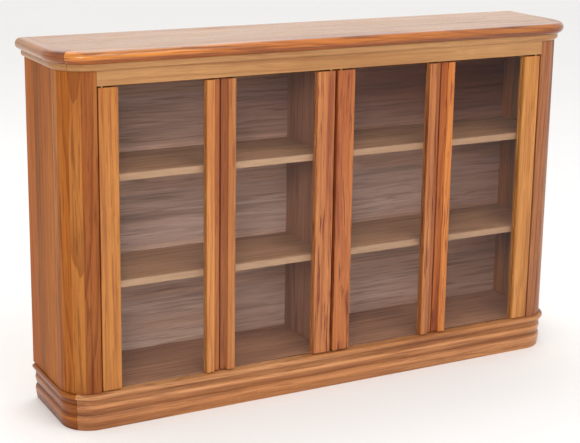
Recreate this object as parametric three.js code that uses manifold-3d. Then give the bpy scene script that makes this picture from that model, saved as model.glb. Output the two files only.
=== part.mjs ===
// Low glazed bookcase: two bays behind four side-hung glass doors, rounded front corners,
// a bullnosed top and a reeded plinth.
// Millimetres, +Z up. The front faces -Y, and the origin is on the floor under the middle of the
// overall box.
import * as THREE from 'three';
import { mergeVertices } from 'three/addons/utils/BufferGeometryUtils.js';
import Module from 'manifold-3d';

// Overall sizes
const WIDTH = 1440;
const DEPTH = 290;
const HEIGHT = 900;

// Case
const WALL = 20; // side panels and the bent corner columns
const CORNER_RADIUS = 76; // outer face of the corner columns
const CORNER_FLAT = 4; // front strip of a column between its arc and the door opening
const DIVIDER_THICKNESS = 20;
const BACK_THICKNESS = 10;
const BACK_RECESS = 20; // from the back edge of the sides to the back panel
const BOTTOM_THICKNESS = 18;

// Top board and its edge
const TOP_THICKNESS = 28;
const TOP_OVERHANG = 22;
const LIPPING_WIDTH = 34;

// Cornice under the top, and the fascia below it
const CORNICE_HEIGHT = 17;
const CORNICE_PROJECTION = 8;
const FASCIA_HEIGHT = 35; // the part that shows under the cornice

// Plinth
const PLINTH_HEIGHT = 91;
const PLINTH_LEDGE = 2; // inner face of the plinth inside the inner face of the case
const PLINTH_FRONT_PROJECTION = 5;
const PLINTH_BACK_SETBACK = 13;
const PLINTH_RAIL_THICKNESS = 20;
const BEAD_PROJECTION = 7;
const BEAD_HEIGHT = 13;
const REED_HEIGHT = 26;
const BASE_REED_HEIGHT = 39;
const GROOVE_DEPTH = 5;
const REED_TAPER = 4; // how far each reed leans in towards its foot

// Doors
const DOOR_THICKNESS = 22;
const DOOR_RECESS = 0.5; // door faces behind the column faces
const DOOR_SIDE_GAP = 3.5;
const DOOR_MEETING_GAP = 4;
const DOOR_CENTRE_GAP = 8;
const DOOR_TOP_GAP = 4;
const DOOR_BOTTOM_GAP = 3;
const DOOR_BACK_CLEARANCE = 3.5; // room behind the doors for their hinge edges to swing
const HINGE_STILE_WIDTH = 48;
const MEETING_STILE_WIDTH = 36;
const FINGER_RECESS_WIDTH = 15;
const FINGER_RECESS_DEPTH = 9;
const FINGER_RECESS_FILLET = 6;
const STILE_ROUNDING = 2.5;
const GLASS_THICKNESS = 5;
const GLASS_SETBACK = 8; // glass behind the door face
const GLASS_GROOVE_DEPTH = 8;
const GLASS_CLEARANCE = 0.3;
const GLASS_END_CLEARANCE = 1;

// Pivot pins at the top and bottom of each hinge stile
const PIVOT_RADIUS = 3;
const PIVOT_CLEARANCE = 0.1;
const PIVOT_FROM_EDGE = 10;
const PIVOT_FROM_FACE = 6.5;
const PIVOT_DEPTH = 12; // into the stile, the fascia and the plinth

// Shelves and their pins
const SHELF_THICKNESS = 17;
const SHELF_SETBACK = 28; // from the case front to the shelf's front edge
const SHELF_CLEARANCE = 1;
const SHELF_LEVELS = { lower: 260, upper: 517 }; // top faces, above the bottom panel
const SHELF_PIN_RADIUS = 2.5;
const SHELF_PIN_LENGTH = 17;
const SHELF_PIN_HOLE_DEPTH = 8;
const SHELF_PIN_FRONT_INSET = 25; // from the front edge of the side panels
const SHELF_PIN_BACK_INSET = 12; // from the back panel

// Gap that fixed pieces keep where they touch
const GAP = 0.3;

// Facets
const QUARTER_STEPS = 12;
const PIN_SIDES = 20;

// Levels and lines that follow from the sizes above
const topUnderside = HEIGHT - TOP_THICKNESS;
const caseTop = topUnderside - GAP;
const openingTop = topUnderside - CORNICE_HEIGHT - FASCIA_HEIGHT;
const caseBottom = PLINTH_HEIGHT + GAP;
const frontY = -DEPTH / 2 + TOP_OVERHANG;
const backY = DEPTH / 2;
const caseHalf = WIDTH / 2 - TOP_OVERHANG;
const cornerX = caseHalf - CORNER_RADIUS;
const cornerY = frontY + CORNER_RADIUS;
const openingHalf = cornerX - CORNER_FLAT;
const insideHalf = caseHalf - WALL;
const backPanelY = backY - BACK_RECESS - BACK_THICKNESS;
const dividerHalf = DIVIDER_THICKNESS / 2;
const dividerFrontY = frontY + DOOR_RECESS + DOOR_THICKNESS + DOOR_BACK_CLEARANCE;
const plinthWall = WALL + PLINTH_LEDGE;
const plinthFrontY = frontY - PLINTH_FRONT_PROJECTION;
const plinthCornerY = plinthFrontY + CORNER_RADIUS;
const plinthBackY = backY - PLINTH_BACK_SETBACK;

const wasm = await Module();
wasm.setup();

function toSolid(geometry) {
  const bare = geometry.clone();
  bare.deleteAttribute('normal');
  bare.deleteAttribute('uv');
  const merged = mergeVertices(bare);
  const vertProperties = new Float32Array(merged.attributes.position.array);
  const triVerts = new Uint32Array(merged.index.array);
  return new wasm.Manifold(new wasm.Mesh({ numProp: 3, vertProperties, triVerts }));
}

function toGeometry(solid) {
  const mesh = solid.getMesh();
  const geometry = new THREE.BufferGeometry();
  geometry.setAttribute('position', new THREE.BufferAttribute(mesh.vertProperties, mesh.numProp));
  geometry.setIndex(new THREE.BufferAttribute(mesh.triVerts, 1));
  geometry.computeVertexNormals();
  return geometry;
}

function cut(geometry, cutters) {
  let solid = toSolid(geometry);
  for (const cutter of cutters) {
    solid = solid.subtract(toSolid(cutter));
  }
  return toGeometry(solid);
}

// Points of an arc, both ends included.
function arc(x, y, radius, fromDegrees, toDegrees, steps = QUARTER_STEPS) {
  const points = [];
  for (let i = 0; i <= steps; i += 1) {
    const angle = THREE.MathUtils.degToRad(fromDegrees + ((toDegrees - fromDegrees) * i) / steps);
    points.push(new THREE.Vector2(x + radius * Math.cos(angle), y + radius * Math.sin(angle)));
  }
  return points;
}

function polygon(pairs) {
  return pairs.map(([x, y]) => new THREE.Vector2(x, y));
}

function mirrored(points) {
  return points.map((point) => new THREE.Vector2(-point.x, point.y));
}

function box(x0, x1, y0, y1, z0, z1) {
  const geometry = new THREE.BoxGeometry(x1 - x0, y1 - y0, z1 - z0);
  geometry.translate((x0 + x1) / 2, (y0 + y1) / 2, (z0 + z1) / 2);
  return geometry;
}

// A plan outline raised from z0 to z1.
function upright(outline, z0, z1) {
  const geometry = new THREE.ExtrudeGeometry(new THREE.Shape(outline), {
    depth: z1 - z0,
    bevelEnabled: false,
    steps: 1,
  });
  geometry.translate(0, 0, z0);
  return geometry;
}

// A round bar whose middle is at (x, y, z), along the Z axis or the X axis.
function roundBar(radius, length, axis, x, y, z) {
  const geometry = new THREE.CylinderGeometry(radius, radius, length, PIN_SIDES);
  if (axis === 'z') {
    geometry.rotateX(Math.PI / 2);
  } else {
    geometry.rotateZ(Math.PI / 2);
  }
  geometry.translate(x, y, z);
  return geometry;
}

// Places in plan on the line that a moulding follows, each with the direction that faces outwards
// there: the end of a side length, and the steps of a rounded corner.
function sideEnd(sign, half, y) {
  return { at: new THREE.Vector2(sign * half, y), outward: new THREE.Vector2(sign, 0) };
}

function cornerRun(x, y, fromDegrees, toDegrees) {
  const centre = new THREE.Vector2(x, y);
  return arc(x, y, CORNER_RADIUS, fromDegrees, toDegrees, QUARTER_STEPS / 2).map((at) => ({
    at,
    outward: at.clone().sub(centre).normalize(),
  }));
}

function signedVolume(positions, index) {
  const a = new THREE.Vector3();
  const b = new THREE.Vector3();
  const c = new THREE.Vector3();
  let volume = 0;
  for (let i = 0; i < index.length; i += 3) {
    a.fromArray(positions, index[i] * 3);
    b.fromArray(positions, index[i + 1] * 3);
    c.fromArray(positions, index[i + 2] * 3);
    volume += a.dot(b.cross(c));
  }
  return volume;
}

// A closed moulding: a profile of (distance outwards, height) carried along a run.
function moulding(profile, run) {
  const count = profile.length;
  const positions = [];
  for (const { at, outward } of run) {
    for (const point of profile) {
      positions.push(at.x + outward.x * point.x, at.y + outward.y * point.x, point.y);
    }
  }
  const index = [];
  for (let i = 0; i < run.length - 1; i += 1) {
    for (let j = 0; j < count; j += 1) {
      const a = i * count + j;
      const b = i * count + ((j + 1) % count);
      index.push(a, b, b + count, a, b + count, a + count);
    }
  }
  const end = (run.length - 1) * count;
  const forward = THREE.ShapeUtils.area(profile) > 0;
  for (const face of THREE.ShapeUtils.triangulateShape(profile, [])) {
    const corners = face.map((corner) => profile[corner]);
    const same = THREE.ShapeUtils.area(corners) > 0 === forward;
    const [a, b, c] = same ? face : [face[0], face[2], face[1]];
    index.push(a, c, b, end + a, end + b, end + c);
  }
  if (signedVolume(positions, index) < 0) {
    index.reverse();
  }
  const geometry = new THREE.BufferGeometry();
  geometry.setAttribute('position', new THREE.Float32BufferAttribute(positions, 3));
  geometry.setIndex(index);
  geometry.computeVertexNormals();
  return geometry;
}

// The front, left and right lengths of a moulding that meets in a mitre at the middle of each
// rounded corner. front is the line of the front face, back the ends of the side lengths.
function mouldingRuns(half, front, back) {
  const x = half - CORNER_RADIUS;
  const y = front + CORNER_RADIUS;
  const mitre = 45 + THREE.MathUtils.radToDeg(GAP / 2 / (CORNER_RADIUS - LIPPING_WIDTH));
  return {
    front: [
      ...cornerRun(-x, y, 180 + mitre, 270),
      ...cornerRun(x, y, 270, 360 - mitre),
    ],
    left: [sideEnd(-1, half, back), ...cornerRun(-x, y, 180, 270 - mitre)],
    right: [sideEnd(1, half, back), ...cornerRun(x, y, 0, -90 + mitre)],
  };
}

// ---- Profiles ----

// Lipping of the top: a half-round nose on a flat inner edge.
function lippingProfile() {
  const radius = TOP_THICKNESS / 2;
  const inner = TOP_OVERHANG - LIPPING_WIDTH;
  return [
    new THREE.Vector2(inner, topUnderside),
    ...arc(TOP_OVERHANG - radius, topUnderside + radius, radius, -90, 90),
    new THREE.Vector2(inner, HEIGHT),
  ];
}

// Cornice: flat against the case, rounded at its lower edge.
function corniceProfile() {
  const radius = CORNICE_PROJECTION - GAP;
  const bottom = topUnderside - CORNICE_HEIGHT;
  return [
    new THREE.Vector2(GAP, bottom),
    ...arc(GAP, bottom + radius, radius, -90, 0).slice(1),
    new THREE.Vector2(CORNICE_PROJECTION, caseTop),
    new THREE.Vector2(GAP, caseTop),
  ];
}

// One reed of the plinth, from its top groove over a round shoulder down a taper.
function reed(top, bottom) {
  const shoulder = (top - bottom) / 3;
  const points = [];
  for (let i = 0; i <= QUARTER_STEPS / 2; i += 1) {
    const angle = (Math.PI / 2) * (1 - i / (QUARTER_STEPS / 2));
    const out = -GROOVE_DEPTH + GROOVE_DEPTH * Math.cos(angle);
    points.push(new THREE.Vector2(out, top - shoulder + shoulder * Math.sin(angle)));
  }
  points.push(new THREE.Vector2(-REED_TAPER, bottom));
  return points;
}

// Plinth: a nosing bead, a flat band, a reed and a taller base reed.
function plinthProfile() {
  const bead = BEAD_HEIGHT / 2;
  const baseTop = BASE_REED_HEIGHT;
  const reedTop = baseTop + REED_HEIGHT;
  const bandTop = PLINTH_HEIGHT - BEAD_HEIGHT;
  return [
    new THREE.Vector2(-plinthWall, 0),
    new THREE.Vector2(-plinthWall, PLINTH_HEIGHT),
    ...arc(BEAD_PROJECTION - bead, PLINTH_HEIGHT - bead, bead, 90, -90),
    new THREE.Vector2(-GROOVE_DEPTH / 2, bandTop),
    new THREE.Vector2(-GROOVE_DEPTH / 4, reedTop + GAP),
    ...reed(reedTop, baseTop),
    ...reed(baseTop - GAP, 0),
  ];
}

// ---- Plan outlines ----

// A board with its two front corners rounded about (x, y) and (-x, y).
function boardOutline(x, y, radius, back) {
  return [
    ...arc(x, y, radius, 0, -90),
    ...arc(-x, y, radius, -90, -180),
    ...polygon([[-x - radius, back], [x + radius, back]]),
  ];
}

// Right-hand corner column: a bent panel with a short flat beside the door opening.
function columnOutline() {
  return [
    ...polygon([[openingHalf, frontY]]),
    ...arc(cornerX, cornerY, CORNER_RADIUS, -90, 0),
    ...arc(cornerX, cornerY, CORNER_RADIUS - WALL, 0, -90),
    ...polygon([[openingHalf, frontY + WALL]]),
  ];
}

// Right-hand shelf, with its outer front corner following the inside of the column.
function shelfOutline() {
  const inner = dividerHalf + SHELF_CLEARANCE;
  const outer = insideHalf - SHELF_CLEARANCE;
  const front = frontY + SHELF_SETBACK;
  const back = backPanelY - SHELF_CLEARANCE;
  const radius = CORNER_RADIUS - WALL - SHELF_CLEARANCE;
  const start = THREE.MathUtils.radToDeg(Math.asin((front - cornerY) / radius));
  const corner = front < cornerY ? arc(cornerX, cornerY, radius, start, 0) : polygon([[outer, front]]);
  return [
    ...polygon([[inner, back], [inner, front]]),
    ...corner,
    ...polygon([[outer, back]]),
  ];
}

// Stiles lie along +X from the edge of the door that they stand at, with the face at Y 0.
function hingeStileOutline() {
  const r = STILE_ROUNDING;
  const width = HINGE_STILE_WIDTH;
  const grooveX = width - GLASS_GROOVE_DEPTH;
  const grooveFront = GLASS_SETBACK - GLASS_CLEARANCE;
  const grooveBack = GLASS_SETBACK + GLASS_THICKNESS + GLASS_CLEARANCE;
  return [
    ...arc(r, r, r, 180, 270, 4),
    ...arc(width - r, r, r, 270, 360, 4),
    ...polygon([
      [width, grooveFront],
      [grooveX, grooveFront],
      [grooveX, grooveBack],
      [width, grooveBack],
      [width, DOOR_THICKNESS],
      [0, DOOR_THICKNESS],
    ]),
  ];
}

function meetingStileOutline() {
  const r = STILE_ROUNDING;
  const width = MEETING_STILE_WIDTH;
  const step = FINGER_RECESS_WIDTH;
  const fillet = FINGER_RECESS_FILLET;
  const floor = FINGER_RECESS_DEPTH;
  const grooveX = width - GLASS_GROOVE_DEPTH;
  const grooveFront = GLASS_SETBACK - GLASS_CLEARANCE;
  const grooveBack = GLASS_SETBACK + GLASS_THICKNESS + GLASS_CLEARANCE;
  return [
    ...polygon([[0, floor]]),
    ...arc(step - fillet, floor - fillet, fillet, 90, 0, 6),
    ...arc(step + r, r, r, 180, 270, 4),
    ...arc(width - r, r, r, 270, 360, 4),
    ...polygon([
      [width, grooveFront],
      [grooveX, grooveFront],
      [grooveX, grooveBack],
      [width, grooveBack],
      [width, DOOR_THICKNESS],
      [0, DOOR_THICKNESS],
    ]),
  ];
}

// ---- Materials ----

const COLOURS = {
  top: '#d7b08c',
  lipping: '#be642d',
  lippingSide: '#af7d50',
  cornice: '#d19a64',
  fascia: '#cd9b64',
  column: '#b9702f',
  side: '#b0764a',
  plinthFront: '#be7d50',
  plinthSide: '#96643c',
  stile: '#c88244',
  meetingStile: '#c87d4b',
  shelf: '#d7aa82',
  inside: '#a87a55',
};

function wood(colour) {
  return new THREE.MeshStandardMaterial({ color: colour, roughness: 0.35, metalness: 0 });
}

function glass() {
  return new THREE.MeshStandardMaterial({
    color: '#c9d2cc',
    roughness: 0.05,
    metalness: 0,
    transparent: true,
    opacity: 0.25,
  });
}

function brass() {
  return new THREE.MeshStandardMaterial({ color: '#c8a050', roughness: 0.3, metalness: 1 });
}

const bookcase = new THREE.Group();

function add(name, geometry, material, parent = bookcase) {
  const mesh = new THREE.Mesh(geometry, material);
  mesh.name = name;
  parent.add(mesh);
  return mesh;
}

// ---- Top, cornice and fascia ----

function addTop() {
  const inset = LIPPING_WIDTH - TOP_OVERHANG + GAP;
  const outline = boardOutline(cornerX, cornerY, CORNER_RADIUS - inset, backY);
  add('top_panel', upright(outline, topUnderside, HEIGHT), wood(COLOURS.top));
  const runs = mouldingRuns(caseHalf, frontY, backY);
  const profile = lippingProfile();
  add('top_lipping_front', moulding(profile, runs.front), wood(COLOURS.lipping));
  add('top_lipping_left', moulding(profile, runs.left), wood(COLOURS.lippingSide));
  add('top_lipping_right', moulding(profile, runs.right), wood(COLOURS.lippingSide));
}

function addCornice() {
  const runs = mouldingRuns(caseHalf, frontY, backY);
  for (const [place, run] of Object.entries(runs)) {
    add(`cornice_${place}`, moulding(corniceProfile(), run), wood(COLOURS.cornice));
  }
}

// The pivot lines of the four doors, as X places from left to right.
const bayDoorsWidth =
  openingHalf - DOOR_SIDE_GAP - DOOR_MEETING_GAP - DOOR_CENTRE_GAP / 2;
const doorWidth = bayDoorsWidth / 2;
const hingeEdges = [
  -openingHalf + DOOR_SIDE_GAP,
  -DOOR_CENTRE_GAP / 2,
  DOOR_CENTRE_GAP / 2,
  openingHalf - DOOR_SIDE_GAP,
];
const swingSigns = [1, -1, 1, -1];
const pivotY = frontY + DOOR_RECESS + PIVOT_FROM_FACE;
const pivotXs = hingeEdges.map((edge, i) => edge + swingSigns[i] * PIVOT_FROM_EDGE);
const doorBottom = PLINTH_HEIGHT + DOOR_BOTTOM_GAP;
const doorTop = openingTop - DOOR_TOP_GAP;

function pivotBores(z0, z1) {
  const radius = PIVOT_RADIUS + PIVOT_CLEARANCE;
  return pivotXs.map((x) => roundBar(radius, z1 - z0, 'z', x, pivotY, (z0 + z1) / 2));
}

function addFascia() {
  const half = openingHalf - GAP;
  const back = dividerFrontY - GAP;
  const rail = box(-half, half, frontY, back, openingTop, caseTop);
  const bores = pivotBores(openingTop - GAP, openingTop + PIVOT_DEPTH);
  add('fascia_rail', cut(rail, bores), wood(COLOURS.fascia));
}

// ---- Case ----

const shelfTops = Object.fromEntries(
  Object.entries(SHELF_LEVELS).map(([name, level]) => [name, PLINTH_HEIGHT + level]),
);
const sideFrontY = cornerY + GAP;
const shelfPinYs = {
  front: sideFrontY + SHELF_PIN_FRONT_INSET,
  back: backPanelY - SHELF_PIN_BACK_INSET,
};

function shelfPinZ(shelfTop) {
  return shelfTop - SHELF_THICKNESS - GAP - SHELF_PIN_RADIUS;
}

// Holes for the shelf pins in the face at x; sign is +1 where the panel is on the +X side of it.
function shelfPinHoles(x, sign) {
  const holes = [];
  const radius = SHELF_PIN_RADIUS + GAP;
  const length = SHELF_PIN_HOLE_DEPTH + 1;
  const middle = x + sign * (SHELF_PIN_HOLE_DEPTH - length / 2);
  for (const top of Object.values(shelfTops)) {
    for (const y of Object.values(shelfPinYs)) {
      holes.push(roundBar(radius, length, 'x', middle, y, shelfPinZ(top)));
    }
  }
  return holes;
}

function addCase() {
  const column = columnOutline();
  const sideColumns = { left: mirrored(column), right: column };
  for (const [place, outline] of Object.entries(sideColumns)) {
    add(`corner_column_${place}`, upright(outline, caseBottom, caseTop), wood(COLOURS.column));
  }
  for (const [place, sign] of [['left', -1], ['right', 1]]) {
    const inner = sign * insideHalf;
    const outer = sign * caseHalf;
    const panel = box(
      Math.min(inner, outer),
      Math.max(inner, outer),
      sideFrontY,
      backY,
      caseBottom,
      caseTop,
    );
    add(`side_panel_${place}`, cut(panel, shelfPinHoles(inner, sign)), wood(COLOURS.side));
  }
  const divider = box(
    -dividerHalf,
    dividerHalf,
    dividerFrontY,
    backPanelY - GAP,
    caseBottom,
    caseTop,
  );
  const holes = [...shelfPinHoles(-dividerHalf, 1), ...shelfPinHoles(dividerHalf, -1)];
  add('centre_divider', cut(divider, holes), wood(COLOURS.inside));
  const backHalf = insideHalf - GAP;
  const back = box(
    -backHalf,
    backHalf,
    backPanelY,
    backPanelY + BACK_THICKNESS,
    caseBottom,
    caseTop,
  );
  add('back_panel', back, wood(COLOURS.inside));
  const inset = plinthWall + GAP;
  const bottom = boardOutline(
    cornerX,
    plinthCornerY,
    CORNER_RADIUS - inset,
    backPanelY + BACK_THICKNESS,
  );
  const bottomZ = PLINTH_HEIGHT - BOTTOM_THICKNESS;
  add('bottom_panel', upright(bottom, bottomZ, PLINTH_HEIGHT), wood(COLOURS.inside));
}

// ---- Plinth ----

function addPlinth() {
  const runs = mouldingRuns(caseHalf, plinthFrontY, plinthBackY);
  const profile = plinthProfile();
  const bores = pivotBores(PLINTH_HEIGHT - PIVOT_DEPTH, PLINTH_HEIGHT + GAP);
  const front = cut(moulding(profile, runs.front), bores);
  add('plinth_front', front, wood(COLOURS.plinthFront));
  add('plinth_left', moulding(profile, runs.left), wood(COLOURS.plinthSide));
  add('plinth_right', moulding(profile, runs.right), wood(COLOURS.plinthSide));
  const half = caseHalf - plinthWall - GAP;
  const rail = box(
    -half,
    half,
    plinthBackY - PLINTH_RAIL_THICKNESS,
    plinthBackY,
    0,
    PLINTH_HEIGHT - BOTTOM_THICKNESS - GAP,
  );
  add('plinth_back_rail', rail, wood(COLOURS.plinthSide));
}

// ---- Shelves and their pins ----

function addShelves() {
  const outline = shelfOutline();
  const bays = { left: mirrored(outline), right: outline };
  const reach = SHELF_PIN_LENGTH / 2 - SHELF_PIN_HOLE_DEPTH + GAP;
  for (const [bay, plan] of Object.entries(bays)) {
    const sign = bay === 'left' ? -1 : 1;
    const pinXs = {
      inner: sign * (dividerHalf + reach),
      outer: sign * (insideHalf - reach),
    };
    for (const [level, top] of Object.entries(shelfTops)) {
      const board = upright(plan, top - SHELF_THICKNESS, top);
      add(`shelf_${bay}_${level}`, board, wood(COLOURS.shelf));
      for (const [end, x] of Object.entries(pinXs)) {
        for (const [place, y] of Object.entries(shelfPinYs)) {
          const pin = roundBar(SHELF_PIN_RADIUS, SHELF_PIN_LENGTH, 'x', x, y, shelfPinZ(top));
          add(`shelf_pin_${bay}_${level}_${end}_${place}`, pin, brass());
        }
      }
    }
  }
}

// ---- Doors ----

// A door built from its hinge edge at X 0 towards +X, or mirrored where sign is -1.
function addDoor(number, edge, sign) {
  const door = new THREE.Group();
  door.position.set(edge, frontY + DOOR_RECESS, 0);
  bookcase.add(door);
  const place = (points) => (sign < 0 ? mirrored(points) : points);
  const pivotX = sign * PIVOT_FROM_EDGE;
  const boreRadius = PIVOT_RADIUS + PIVOT_CLEARANCE;
  const boreLength = PIVOT_DEPTH + GAP;
  const bores = [
    doorBottom + PIVOT_DEPTH - boreLength / 2,
    doorTop - PIVOT_DEPTH + boreLength / 2,
  ].map((z) => roundBar(boreRadius, boreLength, 'z', pivotX, PIVOT_FROM_FACE, z));
  const hingeStile = upright(place(hingeStileOutline()), doorBottom, doorTop);
  add(`door_${number}_hinge_stile`, cut(hingeStile, bores), wood(COLOURS.stile), door);
  const meeting = meetingStileOutline().map(
    (point) => new THREE.Vector2(doorWidth - point.x, point.y),
  );
  const meetingStile = upright(place(meeting), doorBottom, doorTop);
  add(`door_${number}_meeting_stile`, meetingStile, wood(COLOURS.meetingStile), door);
  const glassStart = HINGE_STILE_WIDTH - GLASS_GROOVE_DEPTH + GLASS_CLEARANCE;
  const glassEnd = doorWidth - MEETING_STILE_WIDTH + GLASS_GROOVE_DEPTH - GLASS_CLEARANCE;
  const pane = box(
    Math.min(sign * glassStart, sign * glassEnd),
    Math.max(sign * glassStart, sign * glassEnd),
    GLASS_SETBACK,
    GLASS_SETBACK + GLASS_THICKNESS,
    doorBottom + GLASS_END_CLEARANCE,
    doorTop - GLASS_END_CLEARANCE,
  );
  add(`door_${number}_glass`, pane, glass(), door);
  const pins = {
    top: [doorTop - PIVOT_DEPTH + GAP, openingTop + PIVOT_DEPTH - GAP],
    bottom: [PLINTH_HEIGHT - PIVOT_DEPTH + GAP, doorBottom + PIVOT_DEPTH - GAP],
  };
  for (const [end, [z0, z1]] of Object.entries(pins)) {
    const pin = roundBar(PIVOT_RADIUS, z1 - z0, 'z', pivotX, PIVOT_FROM_FACE, (z0 + z1) / 2);
    add(`door_${number}_${end}_pivot`, pin, brass(), door);
  }
}

addTop();
addCornice();
addFascia();
addCase();
addPlinth();
addShelves();
hingeEdges.forEach((edge, i) => addDoor(i + 1, edge, swingSigns[i]));

export default bookcase;
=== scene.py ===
"""Low glazed bookcase in lacquered timber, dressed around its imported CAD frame.

Metres, +Z up, the front faces -Y. The pieces take their places and outer sizes from the frame's
own boxes. The sizes kept here are those of the profiles, the tones and wear, and the stage.
"""

import math

import bmesh
import bpy
from mathutils import Matrix, Vector


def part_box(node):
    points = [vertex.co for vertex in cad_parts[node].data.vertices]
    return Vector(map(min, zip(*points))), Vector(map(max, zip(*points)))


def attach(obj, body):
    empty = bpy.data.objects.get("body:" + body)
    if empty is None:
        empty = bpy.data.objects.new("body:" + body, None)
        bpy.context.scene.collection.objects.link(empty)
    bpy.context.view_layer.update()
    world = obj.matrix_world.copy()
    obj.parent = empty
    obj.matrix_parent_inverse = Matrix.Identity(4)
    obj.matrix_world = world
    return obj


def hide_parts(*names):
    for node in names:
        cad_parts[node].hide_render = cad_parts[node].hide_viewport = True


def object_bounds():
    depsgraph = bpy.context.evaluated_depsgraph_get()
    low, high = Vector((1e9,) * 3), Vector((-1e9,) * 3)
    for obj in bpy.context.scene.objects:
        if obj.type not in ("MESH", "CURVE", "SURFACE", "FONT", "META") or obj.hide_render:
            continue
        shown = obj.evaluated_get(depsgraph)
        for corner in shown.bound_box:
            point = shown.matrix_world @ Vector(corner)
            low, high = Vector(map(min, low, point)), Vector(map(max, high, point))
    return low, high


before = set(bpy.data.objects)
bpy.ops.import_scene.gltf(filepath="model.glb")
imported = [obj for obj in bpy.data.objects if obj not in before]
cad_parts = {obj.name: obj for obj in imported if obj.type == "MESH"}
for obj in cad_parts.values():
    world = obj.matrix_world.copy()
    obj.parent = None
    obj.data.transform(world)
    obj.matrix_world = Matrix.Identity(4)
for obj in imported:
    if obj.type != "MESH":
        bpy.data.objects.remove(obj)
cad_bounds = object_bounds()

# ---- Sizes of the profiles ----

MM = 0.001
GAP = 0.3 * MM  # left between two pieces that meet
MERGE_DISTANCE = 1e-7  # corners closer than this are one corner
ARC_STEPS = 28  # steps in a quarter of a rounded corner
PROFILE_STEPS = 14  # steps in a quarter of a moulding's curve
SMALL_STEPS = 6  # steps in a quarter of a small rounding
EASE = 0.5 * MM  # arris on sawn edges
FINE_EASE = 0.3 * MM  # arris where two pieces lie flush
PIN_EASE = 0.1 * MM
EASE_ANGLE = 40  # degrees; an edge that turns more than this is eased
PIN_SIDES = 32
PIN_CHAMFER = 0.5 * MM
LIPPING_WIDTH = 34 * MM
BEAD_HEIGHT = 13 * MM
BEAD_PROJECTION = 7 * MM
REED_HEIGHT = 26 * MM
BASE_REED_HEIGHT = 39 * MM
GROOVE_DEPTH = 5 * MM
REED_TAPER = 4 * MM
STILE_ROUNDING = 2.5 * MM
GLASS_GROOVE_DEPTH = 8 * MM
FINGER_RECESS_WIDTH = 15 * MM
FINGER_RECESS_DEPTH = 9 * MM
FINGER_RECESS_FILLET = 6 * MM
SHELF_LIPPING = 8 * MM
SHELF_NOSING = 0.8 * MM

# ---- Lines of the case, from the frame ----

column_low, column_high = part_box("corner_column_right")
case_half = column_high.x
case_front = column_low.y
opening_half = column_low.x
corner_radius = column_high.y - column_low.y
corner_x = case_half - corner_radius
corner_y = case_front + corner_radius
wall = case_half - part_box("side_panel_right")[0].x


# ---- Mesh helpers ----


def arc(x, y, radius, start, end, steps):
    """Points on an arc, with its angles in degrees."""
    points = []
    for i in range(steps + 1):
        angle = math.radians(start + (end - start) * i / steps)
        points.append((x + radius * math.cos(angle), y + radius * math.sin(angle)))
    return points


def mirrored(points):
    """The same plan points on the other side of the case."""
    return [(-x, y) for x, y in points]


def piece(name, vertices, faces):
    """A closed smooth-shaded mesh object with its faces turned outwards."""
    mesh = bpy.data.meshes.new(name)
    mesh.from_pydata(vertices, [], faces)
    work = bmesh.new()
    work.from_mesh(mesh)
    bmesh.ops.remove_doubles(work, verts=work.verts, dist=MERGE_DISTANCE)
    bmesh.ops.recalc_face_normals(work, faces=work.faces)
    work.to_mesh(mesh)
    work.free()
    mesh.shade_smooth()
    obj = bpy.data.objects.new(name, mesh)
    bpy.context.scene.collection.objects.link(obj)
    return obj


def loft(name, rings):
    """A closed body through equal rings of points, with a flat face on each end."""
    count = len(rings[0])
    vertices = [point for ring in rings for point in ring]
    faces = []
    for i in range(len(rings) - 1):
        for j in range(count):
            a = i * count + j
            b = i * count + (j + 1) % count
            faces.append((a, b, b + count, a + count))
    last = (len(rings) - 1) * count
    faces.append(tuple(range(count)))
    faces.append(tuple(range(last, last + count)))
    return piece(name, vertices, faces)


def upright(name, outline, bottom, top):
    """A plan outline raised from bottom to top."""
    return loft(name, [[(x, y, z) for x, y in outline] for z in (bottom, top)])


def moulding(name, profile, run):
    """A profile of (distance outwards, height) carried along a run of places in plan."""
    rings = []
    for x, y, out_x, out_y in run:
        rings.append([(x + out_x * out, y + out_y * out, z) for out, z in profile])
    return loft(name, rings)


def turned_pin(name, node, axis):
    """A round pin in a CAD pin's box, along 'x' or 'z', with a small chamfer at each end."""
    low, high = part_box(node)
    middle = (low + high) / 2
    if axis == "z":
        radius, start, end = (high.x - low.x) / 2, low.z, high.z
    else:
        radius, start, end = (high.z - low.z) / 2, low.x, high.x
    steps = [(start, radius - PIN_CHAMFER), (start + PIN_CHAMFER, radius)]
    steps += [(end - PIN_CHAMFER, radius), (end, radius - PIN_CHAMFER)]
    rings = []
    for at, size in steps:
        ring = []
        for i in range(PIN_SIDES):
            angle = 2 * math.pi * i / PIN_SIDES
            a = size * math.cos(angle)
            b = size * math.sin(angle)
            if axis == "z":
                ring.append((middle.x + a, middle.y + b, at))
            else:
                ring.append((at, middle.y + a, middle.z + b))
        rings.append(ring)
    return loft(name, rings)


def ease(obj, width=EASE, segments=2):
    """Softens the sawn edges and keeps the flat faces flat in their shading."""
    bevel = obj.modifiers.new("Eased edges", "BEVEL")
    bevel.width = width
    bevel.segments = segments
    bevel.limit_method = "ANGLE"
    bevel.angle_limit = math.radians(EASE_ANGLE)
    bevel.use_clamp_overlap = False
    weighted = obj.modifiers.new("Flat faces", "WEIGHTED_NORMAL")
    weighted.weight = 90
    weighted.keep_sharp = True
    return obj


def fit(obj, node, material, body="root"):
    """Puts a finished piece in a CAD node's place."""
    obj.data.materials.append(material)
    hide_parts(node)
    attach(obj, body)


# ---- Shader helpers ----

WHITE = (1.0, 1.0, 1.0, 1.0)


def shade(red, green, blue):
    """A display colour from 0 to 255 as linear RGBA."""
    channels = []
    for value in (red, green, blue):
        value = value / 255
        channels.append(value / 12.92 if value <= 0.04045 else ((value + 0.055) / 1.055) ** 2.4)
    return (*channels, 1.0)


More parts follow.
